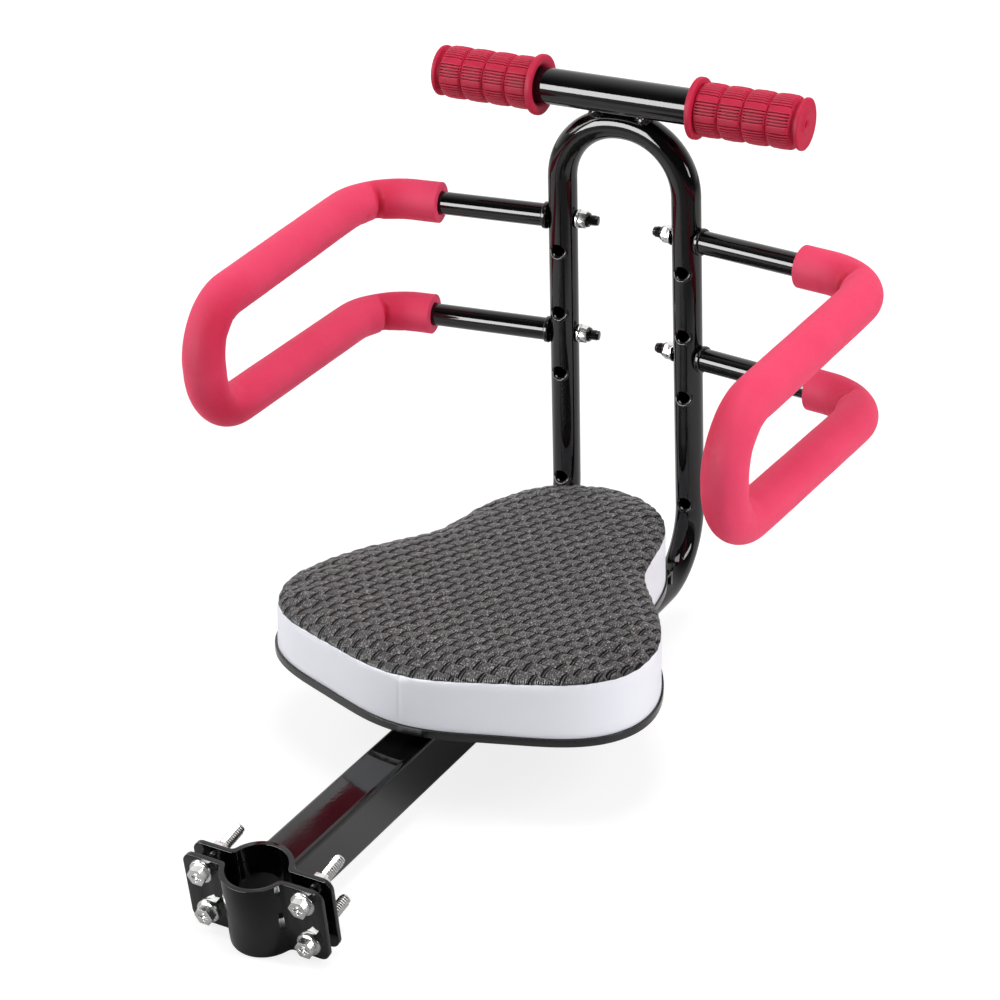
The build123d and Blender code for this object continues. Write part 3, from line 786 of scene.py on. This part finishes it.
def bends():
    """Each bend of the rail: its start, centre, axis, angle and radius."""
    corners = guard_corners()
    radii = [guard_side_bend, guard_front_bend, guard_front_bend, guard_side_bend]
    found = []
    for before, corner, after, radius in zip(corners, corners[1:], corners[2:], radii):
        go_in = (corner - before).normalized()
        go_out = (after - corner).normalized()
        angle = go_in.angle(go_out)
        start = corner - go_in * radius * math.tan(angle / 2)
        axis = go_in.cross(go_out).normalized()
        found.append((start, start + axis.cross(go_in) * radius, axis, angle, radius))
    return found


guard_bends = bends()


def place_at_bend(co, bend):
    """A point seen from a bend: how far beside its plane, how far out from its axis, and its share of the turn."""
    start, centre, axis, angle, radius = bend
    arm = co / MM - centre
    side = arm.dot(axis)
    flat = arm - axis * side
    first = (start - centre).normalized()
    swung = math.atan2(axis.dot(first.cross(flat)), first.dot(flat)) / angle
    return arm, side, flat, swung


def foam_crease(co):
    """How far a point of the sleeve is pulled in or bulges, in millimetres, from the bends near it."""
    pull = 0.0
    for bend in guard_bends:
        radius = bend[-1]
        arm, side, flat, swung = place_at_bend(co, bend)
        if not -0.4 < swung < 1.4 or abs(side) > foam_radius * 1.2:
            continue
        if abs(flat.length - radius) > foam_radius * 1.2:
            continue
        inside = max(0.0, (radius - flat.length) / foam_radius)
        swell = bell(swung - 0.5, bend_spread)
        folds = side_folds if radius == guard_side_bend else front_folds
        for spot, depth, width in folds:
            wander = fold_wander * noise.noise(Vector((spot * 9, side / 6, radius)))
            pull -= depth * min(1.0, 1.5 * inside) * bell(swung - spot - wander, width)
        pull += bend_bulge * inside * swell
        pull -= bend_stretch * (1 - inside) * swell
        if radius == guard_front_bend:
            around = math.degrees(math.atan2(abs(side), radius - flat.length))
            ridge = front_ridge_height * bell(around, front_ridge_width)
            pull += swell * (ridge - front_hollow_depth * bell(around - front_hollow_place, front_hollow_width))
    return pull + 0.1 * noise.noise(co * per(19)) + 0.04 * noise.noise(co * per(6))


def foam_painted_shade(co):
    """How much painted shade a point of the sleeve gets, from 0 to 1: beside the creases and on the front bends' near
    faces.
    """
    most = 0.0
    for number, bend in enumerate(guard_bends):
        radius = bend[-1]
        arm, side, flat, swung = place_at_bend(co, bend)
        offset = arm - flat.normalized() * radius
        if offset.length > foam_radius * 1.3 or not -0.8 < swung < 1.8:
            continue
        if radius == guard_side_bend:
            past = 0.5 - swung if number == 0 else swung - 0.5
            fade = bell(past, 0.42) if past > 0 else bell(past, 0.05)
            inside = (radius - flat.length) / foam_radius
            most = max(most, fade * clamped(0.45 + 0.7 * inside))
        else:
            facing = (-0.75 * offset.x - 0.65 * offset.y) / foam_radius
            most = max(most, bell(swung - 0.5, 0.6) * clamped(1.5 * facing - 0.25))
    return most


def drawn(run):
    """Draws the selected ring out along a straight run, in short steps."""
    step_count = max(2, int(run.length / foam_run_step))
    for _ in range(step_count):
        extruded(run * MM / step_count)


def ring_middle(obj):
    mesh = bmesh.from_edit_mesh(obj.data)
    picked = [v.co for v in mesh.verts if v.select]
    return sum(picked, Vector()) / len(picked)


def foam_end(obj, tip, way):
    """Rounds one open end of the sleeve, and turns it in along the rail."""
    def at_tip(edge):
        middle = (edge.verts[0].co + edge.verts[1].co) / 2 / MM
        return edge.is_boundary and (middle - tip).length < foam_radius * 1.1

    choose_edges(obj, at_tip)
    centre = (tip + way * foam_end_round) * MM
    extruded(way * foam_end_round * MM)
    resized((foam_end_share,) * 3, centre)
    extruded((0, 0, 0))
    resized((foam_bore / (foam_radius * foam_end_share),) * 3, centre)
    extruded(-way * foam_bore_depth * MM)


def crease(co, normal):
    return co + normal * foam_crease(co) * MM


def sleeve():
    corners = guard_corners()
    start_way = (corners[1] - corners[0]).normalized()
    facing = start_way.to_track_quat("Z", "Y").to_euler()
    obj = circle("foam_sleeve_right", foam_columns, foam_radius, corners[0] * MM, facing)
    edit(obj)
    here = corners[0]
    for start, centre, axis, angle, radius in guard_bends:
        drawn(start - here)
        bpy.ops.mesh.spin(steps=foam_bend_steps, angle=-angle, center=centre * MM, axis=axis)
        here = centre + Matrix.Rotation(angle, 3, axis) @ (start - centre)
        if (ring_middle(obj) / MM - here).length > 1.0:
            raise ValueError("the sleeve's bend went the wrong way")
    last_run = corners[-1] - here
    drawn(last_run)
    foam_end(obj, corners[-1], last_run.normalized())
    foam_end(obj, corners[0], -start_way)
    close_edit()
    outward(obj)
    reshape(obj, crease)
    # Painted shade for each point, from 0 to 1, kept as an attribute for the foam's colour.
    painted_shade = obj.data.attributes.new("painted_shade", "FLOAT", "POINT")
    painted_shade.data.foreach_set("value", [foam_painted_shade(point.co) for point in obj.data.vertices])
    smooth(obj, 50)
    return obj


right_sleeve = sleeve()
left_sleeve = copied(right_sleeve, "foam_sleeve_left", flip)
for obj, node in ((right_sleeve, "guard_foam_right"), (left_sleeve, "guard_foam_left")):
    place(obj, foam, [node])


# Cushion: a foam pad in its cover, swollen by a cloth run, then parted at the seam
pad_columns = 240
pad_ring_radius = 100
pad_voxel = 3.6
cover_pressure = 4.0
cover_frames = 20
cover_most_move = 1.6
cover_held_below = seat_seam_height - 0.5

# Sides of the pad as heights and growth past the outline, and its crown as shares of the width and rises
pad_sides = ((22, 1.7), (seat_board_top, 1.6), (40, 1.2), (48, 0.9), (56, 0.7), (seat_seam_height, 0.9), (65.8, 1.0))
pad_crown = ((0.987, 1.6), (0.965, 0.7), (0.93, 0.3), (0.86, 0.2), (0.6, 0.3), (0.3, 0.2))
seam_centre = (0, seat_centre_y * MM, seat_seam_height * MM)


def seat_radius(angle):
    return seat_mean_radius + sum(size * math.cos(count * angle) for count, size in seat_waves.items())


def on_outline(co, normal):
    """Where a point of the round start shape goes on the cushion's outline."""
    height, grow = min(pad_sides, key=lambda side: abs(side[0] * MM - co.z))
    angle = math.atan2(co.x, co.y)
    radius = (seat_radius(angle) + grow) * MM
    return Vector((radius * math.sin(angle), seat_centre_y * MM + radius * math.cos(angle), co.z))


def pad_start():
    """The pad before its cover tightens: sides that narrow upwards, a rounded shoulder and a slight crown.
    It starts below the board's top, and is cut off there later."""
    obj = turned("cushion_pad", [(pad_ring_radius, height) for height, grow in pad_sides], pad_columns)
    reshape(obj, on_outline)
    edit(obj)
    choose_edges(obj, lambda edge: edge.is_boundary and edge.verts[0].co.z > seat_seam_height * MM)
    for share, rise in pad_crown:
        extruded((0, 0, rise * MM))
        resized((share, share, 1), seam_centre)
    bpy.ops.mesh.edge_face_add()
    choose_edges(obj, lambda edge: edge.is_boundary)
    bpy.ops.mesh.edge_face_add()
    close_edit()
    outward(obj)
    return obj


def swollen(obj):
    """Tightens the cover over the pad, and caps how far any point moves."""
    apply(obj, "REMESH", mode="VOXEL", voxel_size=pad_voxel * MM, use_smooth_shade=True)
    apply(obj, "SMOOTH", factor=0.5, iterations=2)
    rest = [v.co.copy() for v in obj.data.vertices]
    held = obj.vertex_groups.new(name="held")
    held.add([v.index for v in obj.data.vertices if v.co.z < cover_held_below * MM], 1.0, "REPLACE")
    only(obj)
    cloth = obj.modifiers.new("cover", "CLOTH")
    cloth.settings.use_pressure = True
    cloth.settings.uniform_pressure_force = cover_pressure
    cloth.settings.vertex_group_mass = "held"
    cloth.settings.effector_weights.gravity = 0.0
    for number in range(1, cover_frames + 1):
        bpy.context.scene.frame_set(number)
    bpy.ops.object.modifier_apply(modifier=cloth.name)
    bpy.context.scene.frame_set(1)
    settled = []
    for point, old in zip(obj.data.vertices, rest):
        moved = point.co - old
        settled.append(old + moved * min(1.0, cover_most_move * MM / max(moved.length, 1e-9)))
    set_points(obj, settled)


def cut(obj, height, keep_top):
    """Cuts a piece level at a height, and keeps the part above or below."""
    edit(obj)
    bpy.ops.mesh.bisect(
        plane_co=(0, 0, height * MM), plane_no=(0, 0, 1), clear_inner=keep_top, clear_outer=not keep_top
    )
    close_edit()


def hem(obj, drop):
    """Turns the cut edge of the cover in, behind the seam."""
    edit(obj)
    bpy.ops.mesh.select_all(action="DESELECT")
    bpy.ops.mesh.select_non_manifold(extend=False)
    for share, move in ((0.992, drop * 0.3), (0.97, drop)):
        extruded((0, 0, move * MM))
        resized((share, share, 1), seam_centre)
    close_edit()


# Emboss of the cover, in millimetres: its height and sink, and how far its slits, rows and edge round off
emboss_height = 1.15
emboss_sink = 0.7
emboss_slit_round = 2.6
emboss_row_round = 2.4
emboss_fade = 1.2

# Sewn band: its radius at the seam, the seam's groove and the fold beside it, in millimetres
band_radius = 130.0
seam_groove_depth, seam_groove_width = 0.4, 0.6
seam_fold_height, seam_fold_place, seam_fold_width = 0.1, 2.2, 1.5


def weave_height(co):
    """The emboss at a point of the cover, in millimetres: staggered bricks with slits between them."""
    turn = math.radians(weave_turn)
    x = (co.x * math.cos(turn) - co.y * math.sin(turn)) / MM
    y = (co.x * math.sin(turn) + co.y * math.cos(turn)) / MM
    line = y / weave_row_height
    cell = (x / weave_cell_width + 0.5 * (math.floor(line) % 2) - weave_slit_curve * (line % 1) ** 2) % 1
    slit_gap = abs(cell - 0.5) * weave_cell_width
    row_gap = (0.5 - abs(line % 1 - 0.5)) * weave_row_height
    pillow = min(1.0, row_gap / emboss_row_round) ** 0.6
    dome = min(1.0, slit_gap / emboss_slit_round) ** 0.5
    return emboss_height * dome * (0.5 + 0.5 * pillow) - emboss_sink


def band_level(co):
    """A point's height on the band: 0 at the board, 1 at the seam."""
    return (co.z / MM - seat_board_top) / (seat_seam_height - seat_board_top)


def rolled(co):
    """Lets the pad lean: it is a little thicker on the right than on the left."""
    return Vector((co.x, co.y, co.z + clamped(band_level(co)) * co.x * math.tan(math.radians(seat_roll))))


def emboss(co, normal):
    fade = clamped((co.z / MM - seat_seam_height) / emboss_fade)
    return rolled(co + normal * weave_height(co) * fade * MM)


def pucker(co, normal):
    """The rear seam of the band, and faint ripples where it is sewn."""
    if co.z < (seat_board_top + 0.4) * MM:
        return co
    level = band_level(co)
    reach = math.atan2(co.x, seat_centre_y * MM - co.y) * band_radius
    groove = -seam_groove_depth * bell(reach, seam_groove_width)
    fold = seam_fold_height * bell(reach - seam_fold_place, seam_fold_width)
    ripple = 0.1 * level ** 4 * noise.noise(co * per(12)) + 0.15 * noise.noise(co * per(70))
    return rolled(co + normal * (groove + fold + ripple) * min(1.0, 6 * level) * MM)


pad = pad_start()
swollen(pad)
apply(pad, "SUBSURF", levels=2, render_levels=2)
cut(pad, seat_board_top + 0.1, True)
cover = copied(pad, "woven_cushion_cover", Matrix.Identity(4))
cut(cover, seat_seam_height, True)
band = copied(pad, "white_cushion_band", Matrix.Identity(4))
cut(band, seat_seam_height, False)
bpy.data.objects.remove(pad)
reshape(cover, emboss)
reshape(band, pucker)
hem(cover, -1.6)
hem(band, 0.8)
smooth(cover, 70)
smooth(band, 60)
place(cover, weave, ["seat_top_cover", "seat_foam"])
place(band, vinyl, ["seat_side_band"])


# Studio: a pale floor, a white room behind the object and soft lamps
def floor_finish():
    """Matte white paper: it takes the shadow, and is lifted to white where the camera looks at it.
    Gloss mirrors the near half as grey, like the dark side of a studio."""
    made, tree, shader, where = new_material("white_paper_sweep")
    fibre = add(tree, "TexNoise", {"Vector": where, "Scale": per(60), "Detail": 3.0}).outputs[0]
    away = add(tree, "VectorMath", {0: where, 1: camera_ahead}, operation="DOT_PRODUCT").outputs["Value"]
    far = add(tree, "MapRange", {0: away, 1: -0.1, 2: 0.1, 3: 0.0, 4: 1.0}, **smoothly).outputs[0]
    path = add(tree, "LightPath", {})
    glossy = path.outputs["Is Glossy Ray"]
    paper = add(tree, "Mix", {0: fibre, 6: linear("#F2F2F2"), 7: linear("#F7F7F7")}, data_type="RGBA").outputs[2]
    near = add(tree, "Mix", {0: glossy, 6: paper, 7: linear("#7E7E7E")}, data_type="RGBA").outputs[2]
    tone = add(tree, "Mix", {0: far, 6: near, 7: paper}, data_type="RGBA").outputs[2]
    feed(tree, shader, {"Base Color": tone, "Roughness": 0.9})
    glow = add(tree, "Emission", {"Color": (1, 1, 1, 1), "Strength": 1.22}).outputs[0]
    reach = add(tree, "VectorMath", {0: where}, operation="LENGTH").outputs["Value"]
    lift = add(tree, "MapRange", {0: reach, 1: 0.7, 2: 2.0, 3: 0.66, 4: 1.0}).outputs[0]
    seen = add(tree, "Math", {0: path.outputs["Is Camera Ray"], 1: lift}, operation="MULTIPLY").outputs[0]
    both = add(tree, "MixShader", {0: seen, 1: shader.outputs[0], 2: glow}).outputs[0]
    feed(tree, tree.nodes["Material Output"], {"Surface": both})
    return made


def floor_sheet():
    bpy.ops.object.select_all(action="DESELECT")
    bpy.ops.mesh.primitive_plane_add(size=9.0, location=(0, 0.3, cad_box[0].z - 0.5 * MM))
    obj = bpy.context.object
    obj.name = "studio_floor"
    settle(obj)
    obj.data.materials.append(floor_finish())


def room():
    """White to the camera; to gloss, a bright wall behind the object and a dark one before it."""
    world = bpy.data.worlds.new("white_room")
    world.use_nodes = True
    bpy.context.scene.world = world
    tree = world.node_tree
    tree.nodes.clear()
    way = add(tree, "TexCoord", {}).outputs["Generated"]
    facing = add(tree, "VectorMath", {0: way, 1: camera_ahead}, operation="DOT_PRODUCT").outputs["Value"]
    wall = add(tree, "MapRange", {0: facing, 1: -0.4, 2: 0.7, 3: 0.04, 4: 1.15}, **smoothly).outputs[0]
    path = add(tree, "LightPath", {})
    glossy, through = path.outputs["Is Glossy Ray"], path.outputs["Is Transmission Ray"]
    mirrored = add(tree, "Math", {0: glossy, 1: through}, operation="MAXIMUM").outputs[0]
    ambient = add(tree, "MapRange", {0: facing, 1: -1.0, 2: 1.0, 3: 0.15, 4: 0.55}).outputs[0]
    indirect = add(tree, "Mix", {0: mirrored, 2: ambient, 3: wall}).outputs[0]
    strength = add(tree, "Mix", {0: path.outputs["Is Camera Ray"], 2: indirect, 3: 1.0}).outputs[0]
    back = add(tree, "Background", {"Color": (1, 1, 1, 1), "Strength": strength}).outputs[0]
    add(tree, "OutputWorld", {"Surface": back})


def softbox(name, spot, aim, width, height, power, lights=True):
    """A soft lamp; one that doesn't light is a card that is only mirrored in gloss."""
    lamp = bpy.data.lights.new(name, "AREA")
    lamp.shape = "RECTANGLE"
    lamp.size = width
    lamp.size_y = height
    lamp.energy = power
    obj = bpy.data.objects.new(name, lamp)
    obj.location = spot
    obj.rotation_euler = (Vector(aim) - Vector(spot)).to_track_quat("-Z", "Y").to_euler()
    obj.visible_diffuse = lights
    bpy.context.scene.collection.objects.link(obj)


floor_sheet()
room()
middle = (0.0, 0.3, 0.15)
hoop_middle = (0.0, 0.4, 0.3)
softbox("left_softbox", (-1.35, -0.35, 1.0), middle, width=0.35, height=1.2, power=10.0)
softbox("right_softbox", (1.4, 0.2, 0.95), middle, width=0.3, height=1.2, power=12.0)
softbox("top_softbox", (0.15, 0.2, 1.9), middle, width=0.9, height=0.8, power=13.0)
softbox("front_card", (-0.85, -1.45, 0.6), hoop_middle, width=1.6, height=1.0, power=90.0, lights=False)
bpy.context.scene.view_settings.view_transform = "Standard"
